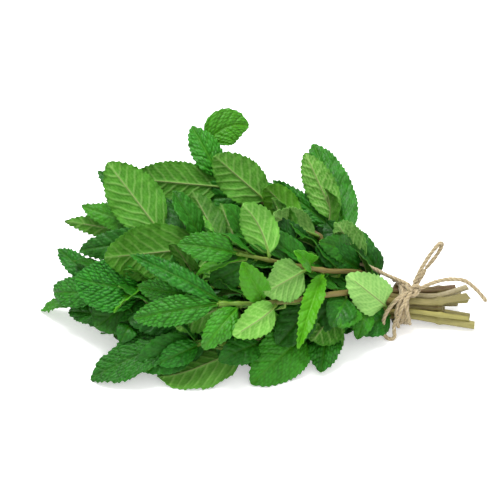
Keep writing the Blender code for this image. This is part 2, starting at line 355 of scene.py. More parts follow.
def buildCamera():
    lens = bpy.data.cameras.new("camera")
    lens.lens = cameraWays["lens"]
    lens.sensor_width = cameraWays["sensor"]
    lens.clip_start, lens.clip_end = 0.05, 20.0
    eye = bpy.data.objects.new("camera", lens)
    bpy.context.scene.collection.objects.link(eye)
    lift = math.radians(cameraWays["elevation"])
    back = Vector((0, -math.cos(lift), math.sin(lift)))
    eye.location = Vector(toFrame(cameraWays["aim"])) + back * cameraWays["away"] * mm
    eye.rotation_mode = "QUATERNION"
    eye.rotation_quaternion = (-back).to_track_quat("-Z", "Y")
    bpy.context.scene.camera = eye


buildCamera()
print("camera ready")

# Twine
twineWays = {
    "floor": 0.45, "radius": 1.0, "plies": 3, "turn": 7.5, "sides": 20, "step": 0.45, "groove": 0.24,
    "endTaper": 0.8, "endShare": 0.45, "fibre": 0.055, "fibreTaper": 0.75, "freeReach": 1.7, "wrapReach": 2.0,
    "freeFibres": 0.9, "wrapFibres": 150, "knotFibres": 40,   # free ones per millimetre
    "wrapRadii": (11.4, 8.6), "wrapTurns": 5, "wrapWidth": 7.6, "wrapLean": 1.3, "pinchAngle": 75,
    "pinch": 0.45, "pinchShift": 2.2, "wrapShift": -1.0, "wrapLift": 0.35,
    "overFrom": -25, "overTo": 150, "overLift": 1.7, "overRun": (4.0, -7.0),
    "knotPlace": (5.2, -4.4, 20.6), "knotSize": 1.25, "knotFaces": (0.25, -0.55, 0.8),
    "joints": (((12, 6, 26), (9.5, 2.5, 23), (6.5, -2.5, 21), (5, -5, 20.5)),
               ((6, -1, 22), (5.5, -3, 21), (4.5, -5, 20)),
               ((-2, -14, 12), (-0.5, -12.2, 15.5), (2.5, -8.5, 19), (4.5, -5.5, 20.5)),
               ((3.5, -5, 21), (-1, -9, 18.5), (-3, -12.3, 13.5), (-2.5, -13.6, 8), (-1.5, -13.8, 4.5))),
}

# each free stretch: its route, its length, where its far end goes
cordRoutes = {
    "twine_ear_up": (
        [(6, -1, 22), (8.5, 1.5, 27), (12.5, 5, 33), (16, 7, 37.5), (18.5, 8.5, 39.5), (19.6, 9.5, 37.5),
         (17, 8.5, 32), (12, 6, 26)], 41, "object"),
    "twine_ear_low": (
        [(1, -6, 20), (-5, -12, 18), (-9, -15, 12), (-9.5, -17, 5), (-7, -18, 1.3), (-4, -18, 2), (-4, -15, 7),
         (-2, -14, 12)], 44, "object"),
    "twine_tail_right": (
        [(8, -3, 20), (15, -3, 24), (22, -3, 26), (30, -4, 26), (36, -6, 22), (41, -9, 17)], 39, "bare"),
    "twine_tail_left": (
        [(4, -2, 21.6), (0, 0, 22.6), (-7, 2, 24.8), (-17, 5, 28.5), (-24, 7, 29)], 31, "bare"),
}


def ropeOn(bm, path, seed):
    # laid strands: a lobed section that turns as it goes, a little uneven
    ways = twineWays
    along, side, across = ringAxes(path)
    travelled = distances(path)
    rng = np.random.default_rng(seed)
    waves = rng.uniform(0, 2 * math.pi, 4)

    def shape(u, v):
        k = np.clip(np.round(v * (len(path) - 1)).astype(int), 0, len(path) - 1)
        s = travelled[k]
        angle = math.pi * u
        lay = angle - 2 * math.pi * s / ways["turn"]
        lobe = np.abs(np.cos(0.5 * ways["plies"] * lay))
        radius = ways["radius"] * (1 - ways["groove"] * (1 - lobe) ** 1.6)
        radius *= 1 + 0.06 * np.sin(s * 0.9 + waves[0]) + 0.04 * np.sin(s * 2.3 + waves[1] + 2 * lay)
        ends = np.minimum(s, travelled[-1] - s)
        radius *= ways["endShare"] + (1 - ways["endShare"]) * smoothStep(0, ways["endTaper"], ends)
        points = around(path[k], angle, radius, side[k], across[k])
        points[:, 2] = np.maximum(points[:, 2], ways["floor"])
        run = np.stack([lay * 1.3, s, np.full_like(s, seed * 3.7)], 1)
        ply = np.stack([(1 - lobe) ** 2, angle * 0, angle * 0], 1)
        return points, {"run": run, "ply": ply}

    gridMesh(bm, ways["sides"], len(path) - 1, shape, tube=True)


def fuzzOn(bm, path, seed, count, reach):
    # loose fibres that stand off the twine
    rng = np.random.default_rng(seed)
    along, side, across = ringAxes(path)
    for _ in range(count):
        k = rng.integers(2, len(path) - 2)
        turn = rng.uniform(0, 2 * math.pi)
        out = math.cos(turn) * side[k] + math.sin(turn) * across[k]
        lean = along[k] * rng.uniform(-1, 1)
        start = path[k] + out * twineWays["radius"] * 0.75
        length = reach * rng.uniform(0.35, 1)
        way = unit(out * rng.uniform(0.5, 1) + lean)
        bow = unit(np.cross(way, along[k]) + 0.001) * rng.uniform(-0.5, 0.5)
        line = np.array([start + way * length * t + bow * length * t * t for t in np.linspace(0, 1, 5)])
        _, fineSide, fineAcross = ringAxes(line, tuple(along[k] + 0.01))

        def shape(u, v):
            j = np.round(v * 4).astype(int)
            angle = math.pi * u
            radius = twineWays["fibre"] * (1 - twineWays["fibreTaper"] * v)
            spots = around(line[j], angle, radius, fineSide[j], fineAcross[j])
            spots[:, 2] = np.maximum(spots[:, 2], twineWays["floor"])
            run = np.stack([angle, v * length, np.full_like(v, seed)], 1)
            return spots, {"run": run, "ply": run * 0}

        gridMesh(bm, 3, 4, shape, tube=True)


def buildCords():
    for seed, (name, (route, length, farEnd)) in enumerate(cordRoutes.items(), 11):
        path = smoothPath(route, twineWays["step"])
        bm = bmesh.new()
        ropeOn(bm, path, seed)
        fuzzOn(bm, path, seed, round(length * twineWays["freeFibres"]), twineWays["freeReach"])
        # the piece has its own name, because the CAD node keeps the route's name
        cord = finishPiece(name.replace("twine", "jute"), bm, [twineSkin], [name])


def ringPath(x, angle, lift):
    # round the tie, lift above the wraps' own radii
    y = tieMiddle[1] - (twineWays["wrapRadii"][0] + lift) * np.cos(angle)
    z = tieMiddle[2] + (twineWays["wrapRadii"][1] + lift) * np.sin(angle)
    return np.stack([x, y, z], 1)


def buildWrap():
    ways = twineWays
    turns = ways["wrapTurns"]
    angle = np.linspace(0, 2 * math.pi * turns, 76 * turns)
    pinch = 0.5 + 0.5 * np.cos(angle - math.radians(ways["pinchAngle"]))   # the turns crowd under the knot
    spread = (angle / angle[-1] - 0.5) * ways["wrapWidth"]
    x = spread * (1 - ways["pinch"] * pinch) + ways["pinchShift"] * pinch + ways["wrapShift"]
    x = x + ways["wrapLean"] * 0.3 * np.sin(3.1 * angle / turns)
    lift = ways["wrapLift"] * np.sin(angle * 0.83 + 1) * (np.sin(angle) > -0.4)
    path = ringPath(x, angle, lift)
    bm = bmesh.new()
    ropeOn(bm, path, 5)
    fuzzOn(bm, path, 6, ways["wrapFibres"], ways["wrapReach"])
    over = np.linspace(math.radians(ways["overFrom"]), math.radians(ways["overTo"]), 70)
    start, run = ways["overRun"]
    x = start + run * (over - over[0]) / (over[-1] - over[0])
    ropeOn(bm, ringPath(x, over, ways["overLift"]), 7)   # one strand laid over the others in front
    finishPiece("jute_wrap", bm, [twineSkin], ["twine_wrap"])


def buildKnot():
    # a trefoil, pulled tight over the front of the wraps
    ways = twineWays
    t = np.linspace(0, 2 * math.pi, 90)
    flat = np.stack([np.sin(t) + 2 * np.sin(2 * t), np.cos(t) - 2 * np.cos(2 * t), -1.1 * np.sin(3 * t)], 1)
    faces = unit(np.array(ways["knotFaces"]))
    right = unit(np.cross((0.0, 1.0, 0.3), faces))
    upward = np.cross(faces, right)
    loops = flat[:, :1] * right + 0.8 * flat[:, 1:2] * upward + flat[:, 2:] * faces
    path = np.array(ways["knotPlace"]) + ways["knotSize"] * loops
    bm = bmesh.new()
    ropeOn(bm, path, 8)
    fuzzOn(bm, path, 9, ways["knotFibres"], ways["wrapReach"])
    for seed, joint in enumerate(ways["joints"], 21):   # short runs into the knot
        ropeOn(bm, smoothPath(joint, ways["step"]), seed)
    finishPiece("jute_knot", bm, [twineSkin])


buildCords()
buildWrap()
buildKnot()
print("twine ready")

# Stems
# radius at the tie and at the tip, place (Y, Z) in the tie, points from the cut end to the tie, points
# from the tie to the tip, and how purple and how grey the cut end is
stemWays = {
    "a": (1.5, .9, (.3, 14), [(33, 3, 17), (18, 1, 13)],
          [(-18, 3, 25), (-38, -11, 37), (-55, -20, 47), (-80, -28, 59)], (.35, 1)),
    "b": (1.8, .9, (-4.5, 14), [(33, -3, 16), (16, -4, 13)],
          [(-18, -8, 22), (-36, -22, 31), (-60, -36, 37), (-89, -43, 41)], (.3, .3)),
    "c": (1.6, .9, (5, 14), [(28, 8, 13), (14, 6, 13)],
          [(-14, 9, 21), (-23, 16, 30), (-31, 27, 39)], (1, .2)),
    "d": (1.7, .9, (6.2, 10), [(31, 10, 8), (14, 7, 9)],
          [(-18, 14, 16), (-38, 24, 31), (-64, 38, 42), (-90, 52, 48), (-99, 67, 64)], (.4, .7)),
    "e": (1.4, .9, (1.5, 10), [(34, 4, 8), (16, 2, 9)],
          [(-30, 5, 22), (-60, 4, 33), (-96, 2, 43), (-116, 6, 46)], (.05, .15)),
    "f": (2.0, 1., (-5.5, 6), [(36, -10, 3.2), (16, -7, 5)],
          [(-26, -12, 8), (-52, -25, 11), (-80, -37, 13), (-107, -38, 15)], (.1, .2)),
    "g": (1.5, .9, (-3.2, 10), [(21, -4, 9)],
          [(-30, -4, 17), (-70, -10, 26), (-110, -15, 30), (-146, -12, 24)], (.6, .1)),
    "h": (1.2, .9, (-7.5, 10), [(33, -9, 6.5), (16, -8.5, 9)],
          [(-12, -9, 14), (-22, -12, 18), (-31, -17, 20)], (0, .1)),
    "i": (1.9, .9, (-.8, 6), [(34, -3, 3), (16, -1.5, 5.5)],
          [(-36, -6, 12), (-74, -20, 16), (-106, -27, 17), (-133, -26, 18)], (.15, .3)),
    "j": (1.6, .9, (4, 6), [(29, 7, 4), (14, 5, 5.5)],
          [(-26, 14, 12), (-58, 30, 19), (-92, 42, 24), (-124, 44, 26)], (.3, .3)),
}
stemBuild = {
    "sides": 20, "step": 0.8, "squareness": 0.07, "roundness": 0.03, "nodeSwell": 0.32, "nodeWidth": 1.6,
    "greenFrom": -30, "greenAt": -85, "shade": 0.6, "cutSlant": 0.5,
}


def stemLine(key, step):
    y, z = stemWays[key][2]
    return smoothPath(stemWays[key][3] + [(5, y, z), (-5, y, z)] + stemWays[key][4], step)


def stemRadius(key, x, farthest):
    thick, slim = stemWays[key][:2]
    return thick + (slim - thick) * np.maximum(0.0, x / farthest)


def stemPlace(key, x):
    # the axis point, direction and radius where the stem passes x
    path = stemLine(key, 1.0)
    k = 1 + int(np.argmin(np.abs(path[1:, 0] - x)))
    return path[k], unit(path[k] - path[k - 1]), float(stemRadius(key, path[k, 0], path[:, 0].min()))


def stemOn(bm, key, stations, seed):
    path = stemLine(key, stemBuild["step"])
    along, side, across = ringAxes(path)
    radii = stemRadius(key, path[:, 0], path[:, 0].min())
    for x in stations:
        swell = np.exp(-((path[:, 0] - x) / stemBuild["nodeWidth"]) ** 2)
        radii = radii * (1 + stemBuild["nodeSwell"] * swell)
    travelled = distances(path)
    purple, grey = stemWays[key][5]
    rows = len(path) - 1
    slant = np.random.default_rng(seed).uniform(-stemBuild["cutSlant"], stemBuild["cutSlant"], 2)

    def shape(u, v):
        k = np.round(v * rows).astype(int)
        angle = math.pi * u
        square = 1 + stemBuild["squareness"] * np.cos(4 * angle) - stemBuild["roundness"] * np.cos(8 * angle)
        radius = radii[k] * square
        points = around(path[k], angle, radius, side[k], across[k])
        lean = radius * (slant[0] * np.cos(angle) + slant[1] * np.sin(angle)) * np.exp(-travelled[k] / 1.5)
        points += lean[:, None] * along[k]
        x = path[k, 0]
        green = smoothStep(stemBuild["greenFrom"], stemBuild["greenAt"], x)
        # painted shade: the stems are painted browner and darker where they run in the bunch under the leaves
        shaded = stemBuild["shade"] * smoothStep(8, -10, x) * smoothStep(-88, -55, x)   # browner in the bunch
        run = np.stack([angle * radii[k], travelled[k], np.full_like(angle, seed * 2.3)], 1)
        # brown carries both the purple of the cut end and the painted shade inside the bunch
        brown = np.maximum(purple * (1 - 0.75 * green), shaded)
        bark = np.stack([green, brown, grey * smoothStep(-12, 20, x)], 1)
        return points, {"run": run, "bark": bark}

    gridMesh(bm, stemBuild["sides"], rows, shape, tube=True)
    cutEnd(bm, path[0], radii[0])


def cutEnd(bm, centre, radius):
    # a rim and a shallow dish in the cut face, where the pith has sunk
    bm.faces.ensure_lookup_table()
    place = Vector(toFrame(centre))
    ends = [f for f in bm.faces if len(f.verts) > 6 and (f.calc_center_median() - place).length < radius * mm]
    if not ends:
        return
    bmesh.ops.inset_region(bm, faces=ends, thickness=0.3 * radius * mm, use_even_offset=False)
    bmesh.ops.inset_region(bm, faces=ends, thickness=0.1 * radius * mm, depth=-0.25 * radius * mm)


# Leaves
bladeBuild = {
    "floor": 0.45,   # the height of the surface below the bunch, in the tie's axes
    "thickness": 0.34, "petiole": 0.9, "tip": 0.35, "rise": 0.55, "fall": 0.75, "gap": 0.8,
    "cell": 2.0, "cellStretch": 1.35, "rowStep": 0.5, "columnStep": 0.42, "toothPitch": 2.5, "tooth": 0.85,
    "toothSlope": 0.72, "bigFrom": 30.0, "pairSpacing": 6.2, "fewestPairs": 4, "veinSlope": (0.75, 1.05),
    "veinBend": 0.02, "veinCosine": 0.72, "midribWidth": 0.42, "sideVeinWidth": 0.32, "netWidth": 0.28,
    "sideVeinDip": 0.2, "quilt": (0.26, 0.4), "dome": (0.02, 1.3), "ripple": 0.75, "wave": 0.35,
}

# where along X it leaves its stem, its tip, width, two bow heights, the way the upper side faces (degrees
# from straight up toward the front), fold, margin curl, twist, sideways bow; blistering, brightness (partly
# the leaf's own tone and partly painted light, higher on leaves that light shines through), yellow
leafWays = {
    "a1": (-80, (-108, -29, 65), 14, (4, 5), 40, 12, -10, 10, 0, .30, 1.0, .15),
    "a2": (-66, (-78, -14, 77), 17, (4, 3), -125, 10, -10, 0, 3, .06, 1.25, .1),
    "a3": (-50, (-68, -9, 58), 14, (4, 6), 50, 5, -20, 0, 0, .15, .85, .1),
    "a4": (-49, (-68, -42, 47), 20, (-2, -2), -120, 6, -20, 0, 0, .06, 1.0, .1),
    "a5": (-40, (-52, -52, 22), 10, (9, 5), 30, 20, 10, 0, 0, .15, 1.3, .5),
    "b1": (-87, (-127, -32, 43), 14, (3, 4), 50, 12, -10, 0, 0, .4, 1.0, .1),
    "b2": (-89, (-129, -42, 32), 14, (7, 5), 50, 8, -10, 0, 0, .4, 1.1, .1),
    "b3": (-86, (-109, -43, 27), 15, (4, 4), -120, 5, -10, 0, 0, .06, .9, .15),
    "b4": (-80, (-96, -57, 26), 14, (9, 10), 50, 0, -30, 0, 0, .35, 1.2, .2),
    "b5": (-68, (-78, -39, 62), 13, (5, 5), 60, 20, 0, 0, 0, .15, 1.2, .4),
    "b6": (-64, (-82, -58, 34), 15, (-6, -4), -115, 5, -20, 0, 0, .06, 1.25, .25),
    "c1": (-31, (-47, 48, 67), 16, (0, 0), -125, 8, -10, 0, 0, .12, 1.0, .1),
    "c2": (-26, (-42, 67, 61), 22, (-2, 1), 50, 8, -10, 0, 0, .15, 1.1, .1),
    "c3": (-22, (-41, -1, 47), 14, (5, 5), 50, 8, -10, 0, 0, .15, .9, .1),
    "c4": (-29, (-63, 46, 52), 10, (-3, 0), 55, 5, -10, 0, 0, .3, .9, .05),
    "d1": (-98, (-75, 74, 67), 19, (2, 2), 60, 5, -10, 0, 5, .35, 1.1, .35),
    "d2": (-87, (-134, 40, 57), 22, (3, 4), -125, 5, -10, 0, 0, .12, .85, .1),
    "d3": (-66, (-92, 42, 69), 22, (2, 3), -125, 5, -10, 0, 0, .06, 1.0, .1),
    "d4": (-40, (-63, 8, 56), 17, (5, 5), -125, 5, -20, 0, 0, .06, 1.1, .1),
    "d5": (-90, (-104, 67, 71), 15, (8, 4), 50, 5, -10, 0, 0, .3, 1.25, .1),
    "e1": (-116, (-144, 31, 72), 26, (0, 2), -125, 5, -10, 0, 0, .12, .9, .1),
    "e2": (-111, (-158, 31, 46), 14, (0, 2), 50, 5, -10, 0, 0, .15, 1.1, .25),
    "e3": (-104, (-167, 30, 38), 14, (9, 6), -120, 5, -10, 0, 0, .08, .75, .2),
    "e4": (-96, (-143, -20, 51), 28, (6, 6), -125, 5, -10, 0, 0, .07, .75, .15),
    "f1": (-107, (-150, -49, .7), 24, (3, 4), 8, 5, -10, 0, 0, .45, .78, .05),
    "f2": (-78, (-118, -51, 3.7), 27, (5, 5), 190, 5, -10, 0, 0, .06, 1.15, .1),
    "f3": (-48, (-74, -53, 1.4), 24, (10, 6), 50, 5, -10, 0, 0, .2, 1.3, .15),
    "f4": (-37, (-41, -46, 3), 16, (4, 4), 20, 5, -10, 0, 0, .3, 1.0, .05),
    "f5": (-98, (-147, -20, 6), 10, (5, 4), -35, 5, -10, 0, 0, .15, 1.0, .1),
    "g1": (-146, (-171, -4, 19), 15, (5, 5), 50, 5, -10, 0, 0, .35, 1.0, .05),
    "g2": (-140, (-179, 6, .7), 14, (3, 4), 10, 5, -10, 0, 0, .3, 1.0, .2),
    "g3": (-126, (-158, -15, 36), 26, (10, 8), 45, 5, -10, 0, 3, .6, 1.15, .0),
    "g4": (-128, (-148, -31, 18), 26, (1, 0), 50, 5, -10, 0, 0, .08, .75, .1),
    "g5": (-120, (-146, 22, 16), 18, (5, 5), 0, 5, -10, 0, 0, .2, 1.0, .1),
    "h1": (-31, (-45, -38, 15), 21, (2, 2), -125, 5, -10, 0, 0, .2, 1.0, .0),
    "h2": (-26, (-32, -36, 22), 13, (4, 4), 50, 5, -10, 0, 0, .1, 1.1, .15),
    "h3": (-9, (-28, -16, 38), 19, (-8, -4), -125, 5, -10, 0, 0, .06, 1.3, .0),
    "h4": (-17, (-23, -27, 8), 11, (4, 6), 50, 5, -10, 0, 0, .15, 1.1, .15),
    "i1": (-131, (-136, -36, 13), 10, (6, 5), 50, 5, -10, 0, 0, .2, .9, .0),
    "j1": (-34, (-50, 58, 18), 22, (3, 6), -40, 5, -10, 0, 0, .2, 1.0, .1),
    "j2": (-56, (-74, 66, 36), 22, (6, 6), -30, 5, -10, 0, 0, .3, 1.0, .1),
    "j3": (-60, (-92, 58, .7), 24, (6, 6), -20, 5, -10, 0, 0, .2, 1.0, .1),
    "j4": (-90, (-118, 62, 40), 22, (6, 6), -40, 5, -10, 0, 0, .3, 1.0, .1),
    "j5": (-92, (-128, 52, .7), 22, (6, 6), -20, 5, -10, 0, 0, .2, 1.0, .1),
    "j6": (-123, (-160, 46, 20), 20, (5, 5), -30, 5, -10, 0, 0, .3, 1.0, .1),
}


# more leaves of the same stems, seen between the ones above; the first letter is the stem
betweenWays = {
    "e01": (-112, (-150, 39, 62), 12, (3, 3), 50, 8, -10, 0, 0, .3, .8, .0),
    "c01": (-18, (-33, 4, 55), 16, (4, 4), -125, 5, -20, 10, 0, .3, 1.15, .0),
    "c02": (-12, (-22, 16, 36), 13, (3, 3), 50, 5, -10, 0, 0, .2, .7, .0),
    "a01": (-46, (-54, -23, 57), 10, (4, 5), 50, 25, 20, 10, 0, .1, 1.35, .3),
    "b01": (-88, (-130, -29, 59), 10, (5, 5), 35, 12, -10, 10, 0, .4, 1.0, .0),
    "a02": (-76, (-101, -31, 46), 10, (3, 4), -15, 12, -10, 0, 0, .15, 1.25, .3),
    "e02": (-90, (-105, -22, 38), 15, (3, 3), -125, 5, -10, 0, 0, .15, .85, .05),
    "g01": (-120, (-139, -32, 28), 10, (5, 4), -25, 15, 10, 10, 0, .15, 1.25, .35),
    "g02": (-144, (-169, 12, 34), 11, (3, 4), 50, 8, -10, 10, 0, .35, .9, .0),
    "g03": (-138, (-172, 7, 14), 12, (3, 4), 30, 8, -10, 0, 0, .35, .9, .0),
    "i01": (-131, (-163, -8, 10), 14, (3, 4), 30, 8, -10, 0, 0, .3, .8, .05),
    "e03": (-115, (-158, 6, 37), 15, (3, 4), 50, 8, -10, 0, 0, .15, .75, .05),
    "i02": (-105, (-132, -31, 22), 14, (4, 4), 50, 8, -10, 0, 0, .15, .65, .0),
    "f01": (-99, (-118, -51, 12), 12, (5, 5), 50, 8, -10, 10, 0, .45, 1.1, .0),
    "h01": (-6, (-23, -23, 9), 15, (3, 4), 50, 8, -10, 0, 0, .2, .85, .0),
    "f02": (-30, (-42, -38, 2.5), 13, (4, 5), -125, 5, -20, 0, 0, .15, 1.2, .0),
    "f03": (-70, (-89, -52, 14), 15, (5, 5), 40, 5, -10, 0, 0, .2, .85, .05),
    "e04": (-44, (-66, 15, 50), 17, (3, 4), 50, 5, -10, 0, 0, .2, .6, .0),
    "a03": (-20, (-43, -1, 44), 15, (3, 4), 50, 5, -10, 0, 0, .3, .75, .0),
    "d01": (-48, (-67, 31, 58), 16, (4, 5), -125, 10, 10, 0, 0, .12, .9, .4),
    "e05": (-88, (-103, 31, 55), 15, (3, 3), -125, 5, -10, 0, 0, .12, .65, .05),
    "e06": (-80, (-89, 25, 52), 10, (3, 3), -125, 5, -10, 0, 0, .12, .75, .1),
    "e07": (-92, (-107, 20, 53), 9, (3, 3), -110, 15, 10, 10, 0, .12, 1.3, .0),
    "b02": (-28, (-36, -34, 21), 15, (3, 4), 50, 8, -10, 0, 0, .2, .8, .05),
    "c03": (-20, (-37, 25, 41), 15, (3, 3), 50, 8, -10, 0, 0, .2, .55, 0),
    "e09": (-98, (-109, 27, 50), 13, (3, 3), 50, 8, -10, 0, 0, .2, .5, 0),
    "g04": (-78, (-104, 10, 14), 20, (2, 2), 20, 5, -10, 0, 0, .2, .5, 0),
    "i03": (-66, (-98, 8, 10), 20, (2, 2), 15, 5, -10, 0, 0, .2, .5, 0),
    "e08": (-100, (-121, 30, 49), 17, (3, 3), 50, 5, -10, 0, 0, .2, .6, .0),
}

# The rest of the foliage: pairs of leaves that leave each stem sideways and away from the camera's side.
# skyline: how far it reaches at each X along the slanted direction (Y, Z) = slant, lowest and highest.
innerFoliage = {
    "every": 6.8, "length": (22, 33), "slimness": 0.6, "spread": (25, 70), "margin": 5.0, "lowest": 1.2,
    "slant": (0.574, 0.819), "coarse": 1.55, "deepest": 70.0, "hiders": "abh", "none": "c",
    "skyline": ((-172, 4, 28), (-158, 1, 46), (-146, -5, 60), (-137, -26, 76), (-98, -29, 75), (-79, -28, 78),
                (-67, -27, 73), (-62, -26, 62), (-50, -23, 72), (-31, -16, 75), (-22, -7, 55), (-12, -2, 23)),
    "sidewaysToo": ((-8, 188), (50, 130), (90,)), "behindOnly": ((55, 125), (90,)), "farthest": -170,
    "tries": 12,
}


# leaves that show their underside: how strong its net of veins is (the same number sets how dark the painted
# shade in the grooves of its upper side is), and how pale it is
underWays = {
    "c1": (1.7, .15), "d4": (1.5, .75), "b6": (1.2, .55), "h3": (1.2, 1), "a4": (1.2, .7), "a2": (.8, .25),
    "f2": (.4, .25), "e1": (.35, 0), "d2": (.35, 0), "e4": (.3, 0), "c01": (.6, .5), "f02": (.6, .3),
    "d3": (.6, .1),
}


def cellGap(x, y, seed):
    # how much farther the second nearest scattered point is than the nearest: 0 where two cells meet
    jitter = np.random.default_rng(seed).uniform(0.2, 0.8, (64, 64, 2))
    i, j = np.floor(x).astype(int), np.floor(y).astype(int)
    near = []
    for right in (-1, 0, 1):
        for up in (-1, 0, 1):
            point = jitter[(i + right) % 64, (j + up) % 64]
            near.append(np.hypot(i + right + point[:, 0] - x, j + up + point[:, 1] - y))
    near = np.sort(near, axis=0)
    return near[1] - near[0]


def outline(v):
    # half width along the blade, 1 at its widest
    t = np.maximum(0.0, (v - 0.05) / 0.95)
    peak = bladeBuild["rise"] / (bladeBuild["rise"] + bladeBuild["fall"])
    most = peak ** bladeBuild["rise"] * (1 - peak) ** bladeBuild["fall"]
    return t ** bladeBuild["rise"] * (1 - t) ** bladeBuild["fall"] / most


def leafBase(key, x, tip):
    axis, along, radius = stemPlace(key, x)
    if x == stemWays[key][4][-1][0]:
        return axis + along * bladeBuild["gap"]
    out = tip - axis
    return axis + unit(out - along * (out @ along)) * (radius + bladeBuild["gap"])


def bladeFrame(base, tip, bows, face, twist, sway):
    # the midrib's point, and the directions ahead, across and out of the upper side, at v along it
    chord = tip - base
    along = unit(chord)
    up = np.array((0, -math.sin(math.radians(face)), math.cos(math.radians(face))))
    up = unit(up - along * (up @ along))
    side = np.cross(up, along)
    first = base + 0.35 * chord + up * bows[0] + side * sway
    second = base + 0.7 * chord + up * bows[1] + side * sway

    def at(v):
        v = np.asarray(v, float)[:, None]
        r = 1 - v
        centre = r**3 * base + 3 * r * r * v * first + 3 * r * v * v * second + v**3 * tip
        ahead = unit(r * r * (first - base) + 2 * r * v * (second - first) + v * v * (tip - second))
        turn = np.radians(twist) * (v - 0.5)
        level = unit(side - ahead * (ahead @ side)[:, None])
        across = level * np.cos(turn) + np.cross(ahead, level) * np.sin(turn)
        return centre, ahead, across, np.cross(ahead, across)

    return at


def midribDip(l, v, waves):
    # the midrib's own height: it lies low and waves slowly
    return -0.42 * (1 - 0.6 * v) + bladeBuild["wave"] * np.sin(l * 0.21 + waves[3])


def teethOn(u, v, length, wag, side):
    # a saw edge, each tooth rising slowly and falling fast
    ways = bladeBuild
    teeth = wag.shape[1] - 3
    part = (v * teeth + wag[side, np.clip((v * teeth).astype(int), 0, teeth)] * 0.6) % 1
    saw = np.where(part < ways["toothSlope"], part / ways["toothSlope"], (1 - part) / (1 - ways["toothSlope"]))
    margin = smoothStep(0.80, 1.0, np.abs(u)) * smoothStep(0.10, 0.2, v) * (1 - smoothStep(0.93, 1.0, v) * 0.5)
    return ways["tooth"] * min(1.0, length / ways["bigFrom"]) * (saw - 0.35) * margin


def bladeOn(bm, base, tip, row, seed, coarse=1.0, under=(0.5, 0)):
    ways = bladeBuild
    width, bows, face, fold, curl, twist, sway, blister, bright, yellow = row
    length = float(np.linalg.norm(tip - base))
    at = bladeFrame(base, tip, bows, face, twist, sway)
    rng = np.random.default_rng(seed)
    waves = rng.uniform(0, 2 * math.pi, 8)
    spacing = length / (max(ways["fewestPairs"], round(length / ways["pairSpacing"])) + 0.6)
    slope, offset = rng.uniform(*ways["veinSlope"]), rng.uniform(-0.25, 0.25)
    wag = rng.uniform(-0.25, 0.25, (2, max(6, round(length / ways["toothPitch"])) + 3))
    big = min(1.0, length / ways["bigFrom"])
    rank = max(1, round(spacing * ways["veinCosine"] / ways["cell"]))   # rows of blisters between side veins

    def shape(u, v):
        u = -u   # so that the grid's own faces look out of the upper side
        centre, ahead, across, normal = at(v)
        least = np.where(v < 0.5, ways["petiole"], ways["tip"])
        half = np.maximum(0.5 * width * outline(v), least)
        side = (u > 0).astype(int)
        tooth = teethOn(u, v, length, wag, side)
        reach = np.abs(u) * half + tooth * (half > 1.2)
        a, l = reach * np.sign(u), v * length
        # side veins bend forward from the midrib, one phase unit apart
        phase = (l - slope * np.abs(a) - ways["veinBend"] * a * a) / spacing + np.where(u > 0, offset, 0)
        phase = phase + 0.05 * np.sin(l * 0.6 + waves[6]) + 0.03 * np.sin(a * 1.5 + l * 0.4 + waves[7])
        veinGap = np.abs(phase - np.round(phase)) * spacing * ways["veinCosine"]
        fade = smoothStep(1.0, 0.78, np.abs(u)) * smoothStep(0.03, 0.12, v) * smoothStep(1.0, 0.93, v)
        rib = np.exp(-((a / ways["midribWidth"]) ** 2))
        midrib = rib * (1 - 0.6 * v)
        sideVein = np.exp(-((veinGap / ways["sideVeinWidth"]) ** 2))
        sideVein = sideVein * fade * (1 - midrib) * (1 - 0.5 * np.abs(u))
        edge = cellGap(np.abs(a) * ways["cellStretch"] / ways["cell"] + 20 + 11 * side, phase * rank + 8, seed)
        dome = smoothStep(0.0, 0.55, edge) * smoothStep(0.25, 1.4, np.abs(a))
        # the vein net, which is also the mask for the painted shade in the grooves of the upper side
        net = smoothStep(ways["netWidth"], 0.02, edge) * fade * under[0]
        # relief of the whole sheet, positive toward the upper side
        quilt = smoothStep(0.0, 1.3, veinGap) * smoothStep(0.2, 1.6, np.abs(a))
        inward = smoothStep(0.0, 0.9, half * (1 - np.abs(u)) + 0.35)
        height = midribDip(l, v, waves) * rib + (1 - rib) * ways["wave"] * np.sin(l * 0.21 + waves[3])
        height = height - ways["sideVeinDip"] * sideVein
        height = height + (ways["quilt"][0] + ways["quilt"][1] * blister) * quilt * big
        height = height + (ways["dome"][0] + ways["dome"][1] * blister) * dome * big * inward
        ripple = np.sin(l * 0.42 + waves[side] + 0.6 * np.sin(l * 0.9 + waves[2]))
        height = height + ways["ripple"] * big * u * u * ripple
        rise = np.radians(fold + 0.5 * curl * np.abs(u) + 4 * np.sin(l * 0.16 + waves[4 + side]))
        points = centre + across * (a * np.cos(rise))[:, None] + normal * (reach * np.sin(rise))[:, None]
        outward = normal * np.cos(rise)[:, None] - across * (np.sign(u) * np.sin(rise))[:, None]
        points = points + outward * height[:, None] + ahead * (0.5 * tooth)[:, None]
        points[:, 2] = np.maximum(points[:, 2], ways["floor"] + 0.35)
        # the mask for the painted highlight on the blister tops of the upper side and the painted shade in the
        # hollows of the underside
        shown = dome * min(1, 0.25 + 2.2 * blister)
        return points, {
            "blade": np.stack([a, l, np.full_like(a, seed * 5.3)], 1),
            "veins": np.stack([midrib, sideVein, net], 1),
            "tone": np.stack([np.full_like(a, under[1]), a * 0, a * 0], 1),
            "body": np.stack([shown, np.full_like(a, bright), np.full_like(a, yellow)], 1),
        }

    columns = 2 * max(6, round(0.5 * width / (ways["columnStep"] * coarse)))
    rows = max(24, round(length / (ways["rowStep"] * coarse)))
    gridMesh(bm, columns, rows, shape)


